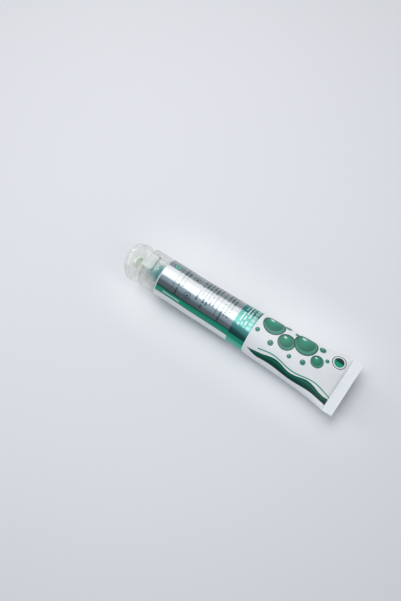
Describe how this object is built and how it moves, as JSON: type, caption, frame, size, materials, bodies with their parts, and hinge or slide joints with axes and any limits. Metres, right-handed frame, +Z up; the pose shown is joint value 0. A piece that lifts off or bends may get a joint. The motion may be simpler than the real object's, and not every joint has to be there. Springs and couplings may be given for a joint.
{
  "type": "toothpaste tube",
  "caption": "Filled soft laminate toothpaste tube lying on its side, flat crimped end, clear flip-top cap with its lid ajar.",
  "frame": {"origin": "middle of the bounding box at its underside, on the surface the tube lies on", "axes": "+X along the tube towards its crimped end, cap towards -X; +Z up, away from the surface the tube lies on; +Y across the tube"},
  "size_m": [0.181, 0.044, 0.0294],
  "materials": {
    "laminate": "printed plastic and foil laminate, satin gloss",
    "shoulder_plastic": "moulded green plastic",
    "gel": "wet translucent gel",
    "clear_plastic": "clear moulded plastic"
  },
  "bodies": {
    "tube": {"sleeve": "laminate", "shoulder": "shoulder_plastic", "paste_gel": "gel", "cap_base": "clear_plastic"},
    "lid": {"cap_lid": "clear_plastic"}
  },
  "joints": [
    {"name": "lid_hinge", "type": "hinge", "parent": "tube", "child": "lid", "pos_m": [-0.07478, 0, 0.00196], "axis": [0, -1, 0], "range_deg": [-24, 136]}
  ]
}
